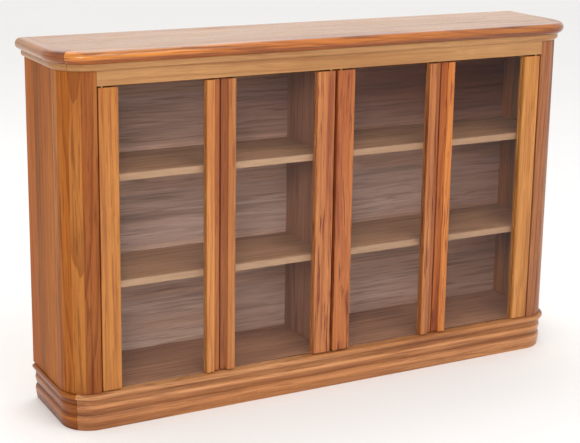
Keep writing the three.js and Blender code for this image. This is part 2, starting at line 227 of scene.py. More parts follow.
class Nodes:
    """The node tree of one new material, with short ways to add nodes to it."""

    def __init__(self, name):
        self.material = bpy.data.materials.new(name)
        self.material.use_nodes = True
        self.tree = self.material.node_tree
        self.tree.nodes.clear()

    def put(self, socket, value):
        """Links a socket, or sets its value."""
        if isinstance(value, bpy.types.NodeSocket):
            self.tree.links.new(value, socket)
        else:
            socket.default_value = value

    def add(self, kind, inputs, **settings):
        """A new node with its inputs and its settings."""
        node = self.tree.nodes.new(kind)
        for key, value in settings.items():
            setattr(node, key, value)
        for key, value in inputs.items():
            self.put(node.inputs[key], value)
        return node

    def place(self):
        """Where a point is on the object at rest."""
        return self.add("ShaderNodeTexCoord", {}).outputs["Object"]

    def mapping(self, vector, **inputs):
        values = {"Vector": vector}
        values.update({key.title(): value for key, value in inputs.items()})
        return self.add("ShaderNodeMapping", values).outputs[0]

    def noise(self, vector, scale, detail=2.0, roughness=0.5):
        values = {"Vector": vector, "Scale": scale, "Detail": detail, "Roughness": roughness}
        return self.add("ShaderNodeTexNoise", values)

    def math(self, operation, *values):
        values = dict(enumerate(values))
        return self.add("ShaderNodeMath", values, operation=operation).outputs[0]

    def vector(self, operation, *values):
        values = dict(enumerate(values))
        return self.add("ShaderNodeVectorMath", values, operation=operation).outputs[0]

    def spread(self, value, low, high, to_low=0.0, to_high=1.0):
        """value from low to high becomes to_low to to_high, with soft ends."""
        values = {
            "Value": value,
            "From Min": low,
            "From Max": high,
            "To Min": to_low,
            "To Max": to_high,
        }
        node = self.add("ShaderNodeMapRange", values, interpolation_type="SMOOTHSTEP")
        return node.outputs[0]

    def share(self, value, low, high):
        """How far a value has come from low to high, as 0 to 1."""
        values = {"Value": value, "From Min": low, "From Max": high, "To Min": 0.0, "To Max": 1.0}
        node = self.add("ShaderNodeMapRange", values, interpolation_type="LINEAR")
        return node.outputs[0]

    def mix(self, factor, a, b, blend="MIX"):
        values = {0: factor, 6: a, 7: b}
        node = self.add("ShaderNodeMix", values, data_type="RGBA", blend_type=blend)
        return node.outputs[2]

    def bands(self, value, stops, blur):
        """Bands of colour, each from its own place to the next, with seams as wide as blur."""
        node = self.add("ShaderNodeValToRGB", {"Fac": value})
        ramp = node.color_ramp
        ramp.interpolation = "LINEAR"
        marks = [stops[0]]
        for (at, colour), (_, before) in zip(stops[1:], stops):
            marks += [(at - blur, before), (at, colour)]
        while len(ramp.elements) < len(marks):
            ramp.elements.new(1.0)
        for element, (at, colour) in zip(ramp.elements, marks):
            element.position = at
        for element, (at, colour) in zip(ramp.elements, marks):
            element.color = (*colour, 1.0)
        return node.outputs[0]

    def split(self, vector):
        return self.add("ShaderNodeSeparateXYZ", {"Vector": vector}).outputs

    def bump(self, height, distance):
        values = {"Height": height, "Distance": distance, "Strength": 1.0}
        return self.add("ShaderNodeBump", values).outputs[0]

    def finish(self, surface):
        """The finished material, with the surface that it shows."""
        output = self.add("ShaderNodeOutputMaterial", {"Surface": surface})
        output.is_active_output = True
        return self.material


# ---- Timber ----

# Turns that bring the grain of a piece that runs along X, Y or Z to the shader's own Z.
GRAIN_TURN = {
    "x": (0.0, -math.pi / 2, 0.0),
    "y": (math.pi / 2, 0.0, 0.0),
    "z": (0.0, 0.0, 0.0),
}

# Presses that carry the grain of a moulding round the corner, for the front and the sides.
ROUND_FRONT = (1.0, 0.12, 1.0)
ROUND_SIDE = (0.12, 1.0, 1.0)

# How far a seed and a stave's tint move the grain, so that no two boards come from one place.
SEED_STEP = (1.37, 2.11, 0.73)
STAVE_STEP = (5.3, 7.9, 3.1)

# The layers of the grain: how far each is pressed along it, then its scale, detail and roughness.
GRAIN_LAYERS = {
    "tone": (0.10, 13.0, 3.0, 0.5),
    "streak": (0.022, 120.0, 4.0, 0.6),
    "vein": (0.05, 34.0, 3.0, 0.55),
    "fleck": (0.03, 210.0, 3.0, 0.55),
    "fibre": (0.014, 850.0, 2.0, 0.6),
}
RIPPLE = 4 * MM  # reach of the short waves in the grain
GRAIN_RELIEF = 0.12 * MM  # height of the bump
COAT_ROUGHNESS = 0.14


class Palette:
    """The colours of one board: its pale and body tones, its dark growth lines and its veins."""

    def __init__(self, pale, body, dark, vein):
        self.pale = shade(*pale)
        self.body = shade(*body)
        self.dark = shade(*dark)
        self.vein = shade(*vein)


def sway(n, vector, place, press, scale, detail, reach):
    """Pushes a vector to and fro across the grain, in waves that are long along it."""
    waves = n.noise(n.mapping(place, scale=(1.0, 1.0, press)), scale, detail).outputs[1]
    offset = n.vector("SUBTRACT", waves, (0.5, 0.5, 0.5))
    return n.vector("MULTIPLY_ADD", offset, (reach, reach, 0.0), vector)


def growth_rings(n, bent, scale, tilt, pith):
    """The growth rings about a pith that lies a little askew beside the board."""
    heart = n.mapping(bent, rotation=(tilt[0], tilt[1], 0.0))
    heart = n.mapping(heart, location=(pith[0], pith[1], 0.0), scale=(1.0, 1.0, 0.12))
    values = {
        "Vector": heart,
        "Scale": scale,
        "Distortion": 3.0,
        "Detail": 2.0,
        "Detail Scale": 0.6,
    }
    settings = {"wave_type": "RINGS", "rings_direction": "Z", "wave_profile": "SAW"}
    return n.add("ShaderNodeTexWave", values, **settings).outputs[1]


def grain_layers(n, bent):
    """The noises of the grain by name."""
    layers = {}
    for name, (press, scale, detail, roughness) in GRAIN_LAYERS.items():
        pressed = n.mapping(bent, scale=(1.0, 1.0, press))
        layers[name] = n.noise(pressed, scale, detail, roughness).outputs[0]
    return layers


def timber(
    name,
    grain,
    seed,
    palette,
    rings=0.35,
    streaks=0.5,
    veins=0.4,
    flecks=0.45,
    ring_scale=34.0,
    tilt=(0.05, 0.03),
    pith=(0.05, 0.07),
    wave=0.022,
    staves=None,
    shading=None,
    scuffs=None,
    gloss=0.30,
    specular=0.3,
    coat=0.1,
    follow=(1.0, 1.0, 1.0),
):
    """Lacquered timber with its grain along one axis.

    staves is a function of the node tree that gives a tint for each glued stave, shading one that
    gives a tint without seams, and scuffs one that gives a mask of worn places. follow presses the
    grain flat along an axis, so that it runs round the corner of a bent moulding.
    """
    n = Nodes(name)
    place = n.place()
    turned = n.mapping(
        place,
        rotation=GRAIN_TURN[grain],
        location=tuple(seed * step for step in SEED_STEP),
        scale=follow,
    )
    tint = None
    if staves:
        tint = staves(n, place)
        turned = n.vector("MULTIPLY_ADD", tint, STAVE_STEP, turned)
    bent = sway(n, turned, turned, press=0.3, scale=5.0, detail=2.0, reach=wave)
    bent = sway(n, bent, turned, press=0.22, scale=42.0, detail=1.0, reach=RIPPLE)
    growth = growth_rings(n, bent, ring_scale, tilt, pith)
    grain_of = grain_layers(n, bent)

    colour = n.mix(n.spread(grain_of["tone"], 0.35, 0.65), palette.body, palette.pale)
    for layer, start, end, strength, ink in (
        (growth, 0.6, 1.0, rings, palette.dark),
        (grain_of["streak"], 0.49, 0.68, streaks, palette.dark),
        (grain_of["vein"], 0.56, 0.68, veins, palette.vein),
        (grain_of["fleck"], 0.57, 0.64, flecks, palette.vein),
    ):
        colour = n.mix(n.spread(layer, start, end, 0.0, strength), colour, ink)
    colour = n.mix(1.0, colour, n.spread(grain_of["fibre"], 0.3, 0.7, 0.86, 1.08), "MULTIPLY")
    if tint:
        colour = n.mix(1.0, colour, tint, "MULTIPLY")
    if shading:
        colour = n.mix(1.0, colour, shading(n, place), "MULTIPLY")

    rough = n.spread(grain_of["streak"], 0.3, 0.7, gloss - 0.05, gloss + 0.07)
    if scuffs:
        rough = n.math("MULTIPLY_ADD", scuffs(n, place), 0.3, rough)
    height = n.math("MULTIPLY_ADD", grain_of["streak"], 0.6, grain_of["fibre"])
    board = n.add(
        "ShaderNodeBsdfPrincipled",
        {
            "Base Color": colour,
            "Roughness": rough,
            "Specular IOR Level": specular,
            "Coat Weight": coat,
            "Coat Roughness": COAT_ROUGHNESS,
            "Normal": n.bump(height, GRAIN_RELIEF),
        },
    )
    return n.finish(board.outputs[0])


# ---- Masks and tints ----

CORNER_SHARE = 0.9  # how much of its bands a corner shows in its quarter turn
CORNER_SEAM = 0.006  # widths of the seams, as shares of the bands
BOARD_SEAM = 0.003
KNOCK_HEIGHT = 50 * MM  # how high on the plinth the knocks reach
WEAR_STARTS = (0.34, 0.48)  # heights of the worn zone on the doors
WEAR_ENDS = (0.52, 0.66)
RAGGED_EDGE = 12 * MM  # how far the edge of the painted shade under the nosing wanders up and down
SHADE_HEIGHT = (0.5, 0.74)  # where painted shade on the back panel deepens: upwards, and to the right
SHADE_ACROSS = (-0.55, 0.6)
BROWNER_ACROSS = (0.1, 0.55)


def corner_staves(sign, stops):
    """Tints of the upright staves that a rounded corner is built from; sign is -1 on the left."""

    def tint(n, place):
        x, y, _ = n.split(place)
        across = n.math("MULTIPLY_ADD", x, sign, -corner_x)
        inward = n.math("MULTIPLY_ADD", y, -1.0, corner_y)
        angle = n.math("ARCTAN2", across, inward)
        turn = 2 / math.pi * CORNER_SHARE
        share = n.math("MULTIPLY_ADD", angle, turn, (1 - CORNER_SHARE) / 2)
        return n.bands(share, stops, blur=CORNER_SEAM)

    return tint


def board_staves(axis, low, high, stops):
    """Tints of the boards that a panel is glued from, counted along an axis."""

    def tint(n, place):
        along = n.split(place)["xyz".index(axis)]
        return n.bands(n.share(along, low, high), stops, blur=BOARD_SEAM)

    return tint


def floor_scuffs(n, place):
    """Small knocks low on the plinth."""
    height = n.spread(n.split(place)[2], 0.0, KNOCK_HEIGHT, 1.0, 0.0)
    knocks = n.noise(place, scale=55.0, detail=4.0, roughness=0.7).outputs[0]
    return n.math("MULTIPLY", height, n.spread(knocks, 0.56, 0.66))


def hand_wear(n, place):
    """A duller zone at the height where the doors are opened."""
    z = n.split(place)[2]
    zone = n.math("MULTIPLY", n.spread(z, *WEAR_STARTS), n.spread(z, *WEAR_ENDS, 1.0, 0.0))
    marks = n.noise(place, scale=40.0, detail=3.0, roughness=0.6).outputs[0]
    return n.math("MULTIPLY", zone, n.spread(marks, 0.45, 0.65))


def painted_underside_shade(low, high, under):
    """Painted shade on the lower half of a nosing, broken up along the grain."""

    def tint(n, place):
        pressed = n.mapping(place, scale=(2.0, 2.0, 60.0))
        ragged = n.noise(pressed, scale=4.0, detail=3.0).outputs[0]
        z = n.math("MULTIPLY_ADD", ragged, RAGGED_EDGE, n.split(place)[2])
        above = n.spread(z, low + RAGGED_EDGE / 2, high + RAGGED_EDGE / 2)
        return n.mix(above, under, WHITE)

    return tint


def nosing_turn(low, high):
    """The dark turn of a side lipping into the front one, paler towards the back."""
    stops = [
        (0.0, (0.62, 0.42, 0.34)),
        (0.15, (0.85, 0.66, 0.52)),
        (0.34, (1.0, 0.82, 0.7)),
        (0.5, (1.0, 1.0, 1.0)),
    ]

    def tint(n, place):
        share = n.share(n.split(place)[1], low, high)
        return n.bands(share, stops, blur=0.08)

    return tint


def front_nosing_shade(under):
    """The front lipping: a touch lighter on the left, painted shade browner towards the right and
    deeper underneath.
    """
    # A touch lighter on the left, then painted shade browner towards the right.
    stops = [
        (0.0, (1.06, 1.04, 1.0)),
        (0.3, (1.0, 1.0, 1.0)),
        (0.55, (0.9, 0.9, 1.0)),
        (0.8, (0.72, 0.7, 0.96)),
    ]

    def tint(n, place):
        share = n.share(n.split(place)[0], -case_half, case_half)
        along = n.bands(share, stops, blur=0.2)
        return n.mix(1.0, under(n, place), along, "MULTIPLY")

    return tint


def reed_painted_light(n, place):
    """Painted highlights along the reeds' shoulders and painted shade in their grooves, from the
    floor to the plinth's top.
    """
    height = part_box("plinth_front")[1].z
    # The brightest bands are painted highlights on the two shoulders, the darkest painted shade in
    # the grooves and under the bead.
    stops = [
        (0.0, (0.94, 0.92, 0.9)),
        (0.26, (1.24, 1.26, 1.34)),
        (0.37, (0.98, 0.96, 0.94)),
        (0.42, (0.74, 0.66, 0.6)),
        (0.52, (0.95, 0.92, 0.9)),
        (0.61, (1.24, 1.26, 1.34)),
        (0.69, (0.98, 0.96, 0.94)),
        (0.74, (0.78, 0.71, 0.66)),
        (0.87, (1.04, 1.04, 1.04)),
    ]
    share = n.share(n.split(place)[2], 0.0, height)
    return n.bands(share, stops, blur=0.03)


def recess_painted_shade(front):
    """Painted shade on the floor of the finger recess of a meeting stile, whose face is at front.
    """
    floor = front + FINGER_RECESS_DEPTH

    def tint(n, place):
        depth = n.split(place)[1]
        into = n.spread(depth, floor - 4 * MM, floor - MM)
        out = n.spread(depth, floor + MM, floor + 4 * MM, 1.0, 0.0)
        # Painted shade on the recess floor, fading out on either side of it.
        return n.mix(n.math("MULTIPLY", into, out), WHITE, (0.7, 0.58, 0.56, 1.0))

    return tint


def painted_bay_shade(n, place):
    """The back panel: painted shade on its inner face, browner and deeper at the top right; its
    outer face plain.
    """
    x, y, z = n.split(place)
    low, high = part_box("back_panel")
    height = n.spread(z, *SHADE_HEIGHT)
    right = n.spread(x, *SHADE_ACROSS, 0.3, 1.0)
    # A browner tone towards the right.
    browner_right = n.mix(n.spread(x, *BROWNER_ACROSS), WHITE, (0.86, 0.76, 0.72, 1.0))
    # Painted shade, deepest under the top at the right.
    inner = n.mix(n.math("MULTIPLY", height, right), browner_right, (0.3, 0.1, 0.04, 1.0))
    outside = n.spread(y, low.y + 2 * MM, high.y - 2 * MM)
    return n.mix(outside, inner, (0.9, 0.68, 0.46, 1.0))


def dusty_top(n, place):
    """Faint wipe marks along the top."""
    drawn_out = n.mapping(place, scale=(0.25, 1.0, 1.0))
    wipes = n.noise(drawn_out, scale=30.0, detail=4.0, roughness=0.65).outputs[0]
    return n.spread(wipes, 0.55, 0.72, 0.0, 0.6)


# ---- Other materials ----

GLASS_IOR = 1.22  # low, so that the bright studio doesn't veil the shelves
TURNING_RELIEF = 0.03 * MM


def pane_glass():
    """Clear door glass: it lets light through to the shelves and keeps its own reflections."""
    n = Nodes("door_glass")
    pressed = n.mapping(n.place(), scale=(1.0, 1.0, 0.4))
    smears = n.noise(pressed, scale=9.0, detail=4.0, roughness=0.6).outputs[0]
    pane = n.add(
        "ShaderNodeBsdfPrincipled",
        {
            "Base Color": (0.96, 0.97, 0.965, 1.0),
            "Roughness": n.spread(smears, 0.45, 0.75, 0.0, 0.03),
            "IOR": GLASS_IOR,
            "Transmission Weight": 1.0,
        },
    )
    clear = n.add("ShaderNodeBsdfTransparent", {"Color": (0.94, 0.95, 0.945, 1.0)})
    rays = n.add("ShaderNodeLightPath", {})
    values = {0: rays.outputs["Is Shadow Ray"], 1: pane.outputs[0], 2: clear.outputs[0]}
    both = n.add("ShaderNodeMixShader", values)
    return n.finish(both.outputs[0])


def metal(name, bright, dull, rough):
    """Turned metal with fine tarnish."""
    n = Nodes(name)
    place = n.place()
    tarnish = n.noise(place, scale=420.0, detail=4.0, roughness=0.65).outputs[0]
    lines = n.noise(n.mapping(place, scale=(0.05, 0.05, 1.0)), scale=2600.0, detail=1.0).outputs[0]
    surface = n.add(
        "ShaderNodeBsdfPrincipled",
        {
            "Base Color": n.mix(n.spread(tarnish, 0.4, 0.7), shade(*bright), shade(*dull)),
            "Metallic": 1.0,
            "Roughness": n.spread(tarnish, 0.3, 0.7, rough, rough + 0.18),
            "Normal": n.bump(lines, TURNING_RELIEF),
        },
    )
    return n.finish(surface.outputs[0])


def studio_floor():
    """Pale matt floor with a trace of mottling."""
    n = Nodes("studio_floor")
    cloud = n.noise(n.place(), scale=1.2, detail=3.0).outputs[0]
    surface = n.add(
        "ShaderNodeBsdfPrincipled",
        {
            "Base Color": n.mix(cloud, shade(246, 246, 246), shade(250, 250, 250)),
            "Roughness": 0.9,
        },
    )
    return n.finish(surface.outputs[0])


# ---- Top and cornice ----


def moulding_runs(half, front, back):
    """The front, left and right lengths of a moulding, which meet at 45 degrees in each corner."""
    x = half - corner_radius
    y = front + corner_radius
    mitre = 45 + math.degrees(GAP / 2 / (corner_radius - LIPPING_WIDTH))

    def corner(centre_x, start, end):
        """Places on an arc of the corner line, each with its direction outwards."""
        places = []
        for at_x, at_y in arc(centre_x, y, corner_radius, start, end, ARC_STEPS // 2):
            out_x = (at_x - centre_x) / corner_radius
            out_y = (at_y - y) / corner_radius
            places.append((at_x, at_y, out_x, out_y))
        return places

    return {
        "front": corner(-x, 180 + mitre, 270) + corner(x, 270, 360 - mitre),
        "left": [(-half, back, -1.0, 0.0)] + corner(-x, 180, 270 - mitre),
        "right": [(half, back, 1.0, 0.0)] + corner(x, 0, -90 + mitre),
    }


def board_outline(x, y, radius, back):
    """A board with its two front corners rounded about (x, y) and (-x, y)."""
    outline = arc(x, y, radius, 0, -90, ARC_STEPS) + arc(-x, y, radius, -90, -180, ARC_STEPS)
    return outline + [(-x - radius, back), (x + radius, back)]


def add_top_panel(material):
    """The board of the top, inside its rounded edge."""
    low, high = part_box("top_panel")
    outline = board_outline(corner_x, corner_y, high.x - corner_x, high.y)
    board = upright("top_board", outline, low.z, high.z)
    fit(ease(board, FINE_EASE), "top_panel", material)


def add_top_lipping(materials):
    """The half-round strips along the front and sides of the top."""
    low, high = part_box("top_lipping_front")
    radius = (high.z - low.z) / 2
    overhang = case_front - low.y
    inner = overhang - LIPPING_WIDTH
    nose = arc(overhang - radius, low.z + radius, radius, -90, 90, 2 * PROFILE_STEPS)
    profile = [(inner, low.z)] + nose + [(inner, high.z)]
    runs = moulding_runs(case_half, case_front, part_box("top_lipping_left")[1].y)
    for side, run in runs.items():
        lipping = moulding(f"lipping_{side}", profile, run)
        fit(ease(lipping, FINE_EASE), f"top_lipping_{side}", materials[side])


def add_cornice(materials):
    """The quarter-round strips under the top."""
    low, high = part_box("cornice_front")
    projection = case_front - low.y
    radius = projection - GAP
    curve = arc(GAP, low.z + radius, radius, -90, 0, PROFILE_STEPS)
    profile = [(GAP, low.z)] + curve[1:] + [(projection, high.z), (GAP, high.z)]
    runs = moulding_runs(case_half, case_front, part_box("cornice_left")[1].y)
    for side, run in runs.items():
        strip = moulding(f"cornice_strip_{side}", profile, run)
        fit(ease(strip, FINE_EASE), f"cornice_{side}", materials[side])


# ---- Case ----


def add_column(side, sign, material):
    """A rounded corner of the case, from the opening to the side panel."""
    low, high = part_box(f"corner_column_{side}")
    outline = [(opening_half, case_front)]
    outline += arc(corner_x, corner_y, corner_radius, -90, 0, ARC_STEPS)
    outline += arc(corner_x, corner_y, corner_radius - wall, 0, -90, ARC_STEPS)
    outline += [(opening_half, case_front + wall)]
    outline = outline if sign > 0 else mirrored(outline)
    column = upright(f"corner_staves_{side}", outline, low.z, high.z)
    fit(ease(column), f"corner_column_{side}", material)


def add_board(node, name, material, width=EASE):
    """A flat board in the place of a CAD board."""
    low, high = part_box(node)
    outline = [(low.x, low.y), (high.x, low.y), (high.x, high.y), (low.x, high.y)]
    fit(ease(upright(name, outline, low.z, high.z), width), node, material)


def add_bottom(material):
    """The bottom board, with its front corners rounded."""
    low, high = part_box("bottom_panel")
    radius = high.x - corner_x
    outline = board_outline(corner_x, low.y + radius, radius, high.y)
    board = upright("bottom_board", outline, low.z, high.z)
    fit(ease(board), "bottom_panel", material)


def add_shelf(bay, level, sign, board_material, lipping_material):
    """A shelf board with a paler solid strip along its front edge."""
    node = f"shelf_{bay}_{level}"
    low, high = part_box(node)
    inner = min(abs(low.x), abs(high.x))
    outer = max(abs(low.x), abs(high.x))
    radius = outer - corner_x
    joint = low.y + SHELF_LIPPING

    def turn(y):
        """The angle at which the shelf's rounded corner reaches y."""
        return math.degrees(math.asin((y - corner_y) / radius))

    front = [(inner, joint), (inner, low.y)]
    front += arc(corner_x, corner_y, radius, turn(low.y), turn(joint), SMALL_STEPS)
    back = [(inner, high.y), (inner, joint + GAP)]
    back += arc(corner_x, corner_y, radius, turn(joint + GAP), 0, ARC_STEPS)
    back += [(outer, high.y)]
    if sign < 0:
        front, back = mirrored(front), mirrored(back)
    board = upright(f"{node}_board", back, low.z, high.z)
    fit(ease(board, FINE_EASE), node, board_material)
    strip = upright(f"{node}_lipping", front, low.z, high.z)
    fit(ease(strip, SHELF_NOSING, 3), node, lipping_material)


# ---- Plinth ----


def reed(top, bottom):
    """A reed of the plinth, from its top groove over a round shoulder down a taper."""
    shoulder = (top - bottom) / 3
    points = []
    for i in range(PROFILE_STEPS + 1):
        angle = math.pi / 2 * (1 - i / PROFILE_STEPS)
        out = -GROOVE_DEPTH + GROOVE_DEPTH * math.cos(angle)
        points.append((out, top - shoulder + shoulder * math.sin(angle)))
    return points + [(-REED_TAPER, bottom)]


def add_plinth(materials):
    """The plinth: a bead over two reeds."""
    low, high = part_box("plinth_front")
    front = low.y + BEAD_PROJECTION
    inner = -(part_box("bottom_panel")[0].y - GAP - front)
    bead = BEAD_HEIGHT / 2
    reed_top = BASE_REED_HEIGHT + REED_HEIGHT
    profile = [(inner, low.z), (inner, high.z)]
    profile += arc(BEAD_PROJECTION - bead, high.z - bead, bead, 90, -90, 2 * PROFILE_STEPS)
    profile += [(-GROOVE_DEPTH / 2, high.z - BEAD_HEIGHT), (-GROOVE_DEPTH / 4, reed_top + GAP)]
    profile += reed(reed_top, BASE_REED_HEIGHT)
    profile += reed(BASE_REED_HEIGHT - GAP, low.z)
    runs = moulding_runs(case_half, front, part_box("plinth_left")[1].y)
    for side, run in runs.items():
        base = moulding(f"plinth_moulding_{side}", profile, run)
        fit(ease(base, FINE_EASE), f"plinth_{side}", materials[side])


# ---- Doors ----


def hinge_face(width):
    """The front of a hinge stile's outline, with both arrises rounded."""
    r = STILE_ROUNDING
    return arc(r, r, r, 180, 270, SMALL_STEPS) + arc(width - r, r, r, 270, 360, SMALL_STEPS)


def meeting_face(width):
    """The front of a meeting stile's outline, with the finger recess along its outer edge."""
    r = STILE_ROUNDING
    recess = FINGER_RECESS_WIDTH
    floor = FINGER_RECESS_DEPTH
    fillet = FINGER_RECESS_FILLET
    outline = [(0.0, floor)]
    outline += arc(recess - fillet, floor - fillet, fillet, 90, 0, PROFILE_STEPS)
    outline += arc(recess + r, r, r, 180, 270, SMALL_STEPS)
    return outline + arc(width - r, r, r, 270, 360, SMALL_STEPS)


def groove_side(width, face, back, number):
    """The rest of a stile's outline: the groove for the glass in its inner edge, and its back."""
    glass_low, glass_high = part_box(f"door_{number}_glass")
    groove = width - GLASS_GROOVE_DEPTH
    groove_front = glass_low.y - GAP - face
    groove_back = glass_high.y + GAP - face
    thickness = back - face
    return [
        (width, groove_front),
        (groove, groove_front),
        (groove, groove_back),
        (width, groove_back),
        (width, thickness),
        (0.0, thickness),
    ]


def add_stile(number, kind, sign, face_of, material):
    """One stile of a door, drawn from its outer edge in the direction of sign."""
    node = f"door_{number}_{kind}_stile"
    low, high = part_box(node)
    width = high.x - low.x
    edge = low.x if sign > 0 else high.x
    outline = face_of(width) + groove_side(width, low.y, high.y, number)
    placed = [(edge + sign * u, low.y + v) for u, v in outline]
    stile = upright(f"door_{number}_{kind}_upright", placed, low.z, high.z)
    fit(ease(stile), node, material, f"door_{number}")


def add_door(number, sign, hinge_material, meeting_material, glass, brass):
    """A door with no rails: the glass stands between a hinge stile and a finger-grip stile."""
    add_stile(number, "hinge", sign, hinge_face, hinge_material)
    add_stile(number, "meeting", -sign, meeting_face, meeting_material)
    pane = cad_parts[f"door_{number}_glass"]
    pane.data.materials.clear()
    pane.data.materials.append(glass)
    for end in ("top", "bottom"):
        node = f"door_{number}_{end}_pivot"
        pin = turned_pin(f"door_{number}_{end}_pin", node, "z")
        fit(ease(pin, PIN_EASE), node, brass, f"door_{number}")


# ---- The boards of this bookcase ----


def top_timber():
    """The boards of the top."""
    body = Palette((189, 143, 100), (174, 123, 81), (136, 82, 47), (119, 65, 38))
    stops = [(0.0, (1.0, 0.98, 0.96)), (0.36, (0.95, 0.94, 0.9)), (0.68, (1.04, 1.0, 0.98))]
    staves = board_staves("y", cad_bounds[0][1], cad_bounds[1][1], stops)
    return timber(
        "top_boards",
        "x",
        1,
        body,
        rings=0.22,
        streaks=0.36,
        veins=0.28,
        flecks=0.3,
        staves=staves,
        gloss=0.2,
        scuffs=dusty_top,
    )


def lipping_timbers():
    """The strips of the top's rounded edge, by side."""
    front = Palette((209, 131, 53), (190, 109, 39), (124, 61, 24), (100, 45, 20))
    side = Palette((182, 125, 67), (164, 106, 54), (124, 72, 34), (104, 55, 26))
    low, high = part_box("top_lipping_front")
    middle = (low.z + high.z) / 2
    # Painted shade on the lower half of the front nosing.
    under = painted_underside_shade(middle - 6 * MM, middle + 3 * MM, (0.62, 0.5, 0.46, 1.0))
    timbers = {
        "front": timber(
            "lipping_front_timber",
            "x",
            2,
            front,
            streaks=0.7,
            gloss=0.18,
            coat=0.35,
            shading=front_nosing_shade(under),
            follow=ROUND_FRONT,
        )
    }
    low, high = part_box("top_lipping_left")
    turning = nosing_turn(low.y, high.y)
    for end, seed in (("left", 3), ("right", 4)):
        timbers[end] = timber(
            f"lipping_{end}_timber",
            "y",
            seed,
            side,
            gloss=0.2,
            coat=0.25,
            shading=turning,
            follow=ROUND_SIDE,
        )
    return timbers


def cornice_timbers():
    """The strips of the cornice, by side."""
    strip = Palette((186, 137, 87), (171, 121, 72), (144, 89, 47), (131, 73, 38))
    runs = {
        "front": ("x", 5, ROUND_FRONT),
        "left": ("y", 6, ROUND_SIDE),
        "right": ("y", 7, ROUND_SIDE),
    }
    return {
        side: timber(
            f"cornice_{side}_timber",
            grain,
            seed,
            strip,
            rings=0.1,
            veins=0.15,
            flecks=0.2,
            follow=follow,
        )
        for side, (grain, seed, follow) in runs.items()
    }


def column_timber(side, sign, seed, body, stops):
    """The upright staves of a rounded corner."""
    return timber(
        f"column_{side}_timber",
        "z",
        seed,
        body,
        rings=0.5,
        veins=0.6,
        ring_scale=26.0,
        staves=corner_staves(sign, stops),
        specular=0.08,
        coat=0.0,
    )


def side_timber(side, seed, body):
    """The glued boards of a side panel."""
    low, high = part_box(f"side_panel_{side}")
    stops = [
        (0.0, (1.0, 1.0, 0.96)),
        (0.2, (0.95, 0.93, 0.93)),
        (0.5, (0.68, 0.74, 0.95)),
        (0.63, (0.98, 0.9, 0.95)),
        (0.86, (1.06, 0.96, 0.8)),
    ]
    return timber(
        f"side_{side}_timber",
        "z",
        seed,
        body,
        staves=board_staves("y", low.y, high.y, stops),
        gloss=0.42,
        specular=0.05,
        coat=0.0,
    )


def plinth_timbers():
    """The mouldings of the plinth, by side."""
    front = Palette((196, 139, 91), (179, 119, 72), (139, 83, 48), (119, 65, 38))
    side = Palette((155, 84, 17), (135, 71, 12), (101, 48, 6), (84, 35, 4))
    runs = {
        "front": ("x", 12, front, ROUND_FRONT),
        "left": ("y", 13, side, ROUND_SIDE),
        "right": ("y", 14, side, ROUND_SIDE),
    }
    return {
        side: timber(
            f"plinth_{side}_timber",
            grain,
            seed,
            palette,
            scuffs=floor_scuffs,
            shading=reed_painted_light,
            gloss=0.24,
            specular=0.2,
            follow=follow,
        )
        for side, (grain, seed, palette, follow) in runs.items()
    }


# The palettes of the stiles, by door and kind, and the stiles whose grain is flamed.
STILES = {
    (1, "hinge"): Palette((188, 121, 54), (173, 104, 43), (141, 74, 29), (129, 61, 26)),
    (1, "meeting"): Palette((203, 136, 72), (185, 115, 58), (144, 74, 35), (167, 79, 27)),
    (2, "meeting"): Palette((183, 117, 63), (167, 100, 51), (131, 70, 34), (120, 57, 27)),
    (2, "hinge"): Palette((191, 121, 68), (173, 101, 55), (136, 68, 34), (121, 53, 28)),
    (3, "hinge"): Palette((185, 110, 57), (168, 93, 46), (131, 60, 28), (116, 47, 22)),
    (3, "meeting"): Palette((189, 122, 69), (176, 106, 56), (138, 72, 38), (125, 59, 30)),
    (4, "meeting"): Palette((208, 130, 60), (193, 112, 48), (151, 75, 32), (138, 62, 27)),
    (4, "hinge"): Palette((201, 137, 69), (187, 121, 58), (152, 85, 37), (137, 70, 31)),
}
FLAMED = {(2, "hinge"), (3, "hinge"), (3, "meeting"), (4, "meeting")}


def stile_timber(number, kind):
    """One stile; a meeting stile has painted shade in its finger recess, and its wear."""
    flamed = (number, kind) in FLAMED
    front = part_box(f"door_{number}_meeting_stile")[0].y
    return timber(
        f"door_{number}_{kind}_timber",
        "z",
        20 + 2 * number + (kind == "hinge"),
        STILES[number, kind],
        veins=0.6 if flamed else 0.45,
        flecks=1.0 if flamed else 0.5,
        wave=0.045 if flamed else 0.02,
        tilt=(0.02, 0.02),
        shading=recess_painted_shade(front) if kind == "meeting" else None,
        scuffs=hand_wear if kind == "meeting" else None,
    )


def inside_timbers():
    """The back panel, the divider and the bottom."""
    back = Palette((213, 179, 163), (193, 155, 135), (139, 107, 95), (123, 90, 78))
    plain = Palette((179, 129, 99), (160, 111, 85), (122, 79, 59), (102, 63, 47))
    low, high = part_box("back_panel")
    stops = [
        (0.0, (0.98, 1.0, 1.02)),
        (0.17, (1.08, 1.06, 1.04)),
        (0.35, (0.93, 0.96, 1.02)),
        (0.52, (1.06, 1.02, 0.98)),
        (0.68, (0.92, 0.93, 0.95)),
        (0.84, (1.07, 1.08, 1.02)),
    ]
    boards = board_staves("z", low.z, high.z, stops)
    return (
        timber(
            "back_timber",
            "x",
            40,
            back,
            rings=0.2,
            ring_scale=14.0,
            pith=(0.3, 0.06),
            wave=0.03,
            staves=boards,
            shading=painted_bay_shade,
            gloss=0.5,
            specular=0.08,
            coat=0.0,
        ),
        timber("inside_timber", "z", 41, plain, specular=0.1, coat=0.0),
        timber("bottom_timber", "x", 42, plain, specular=0.1, coat=0.0),
    )


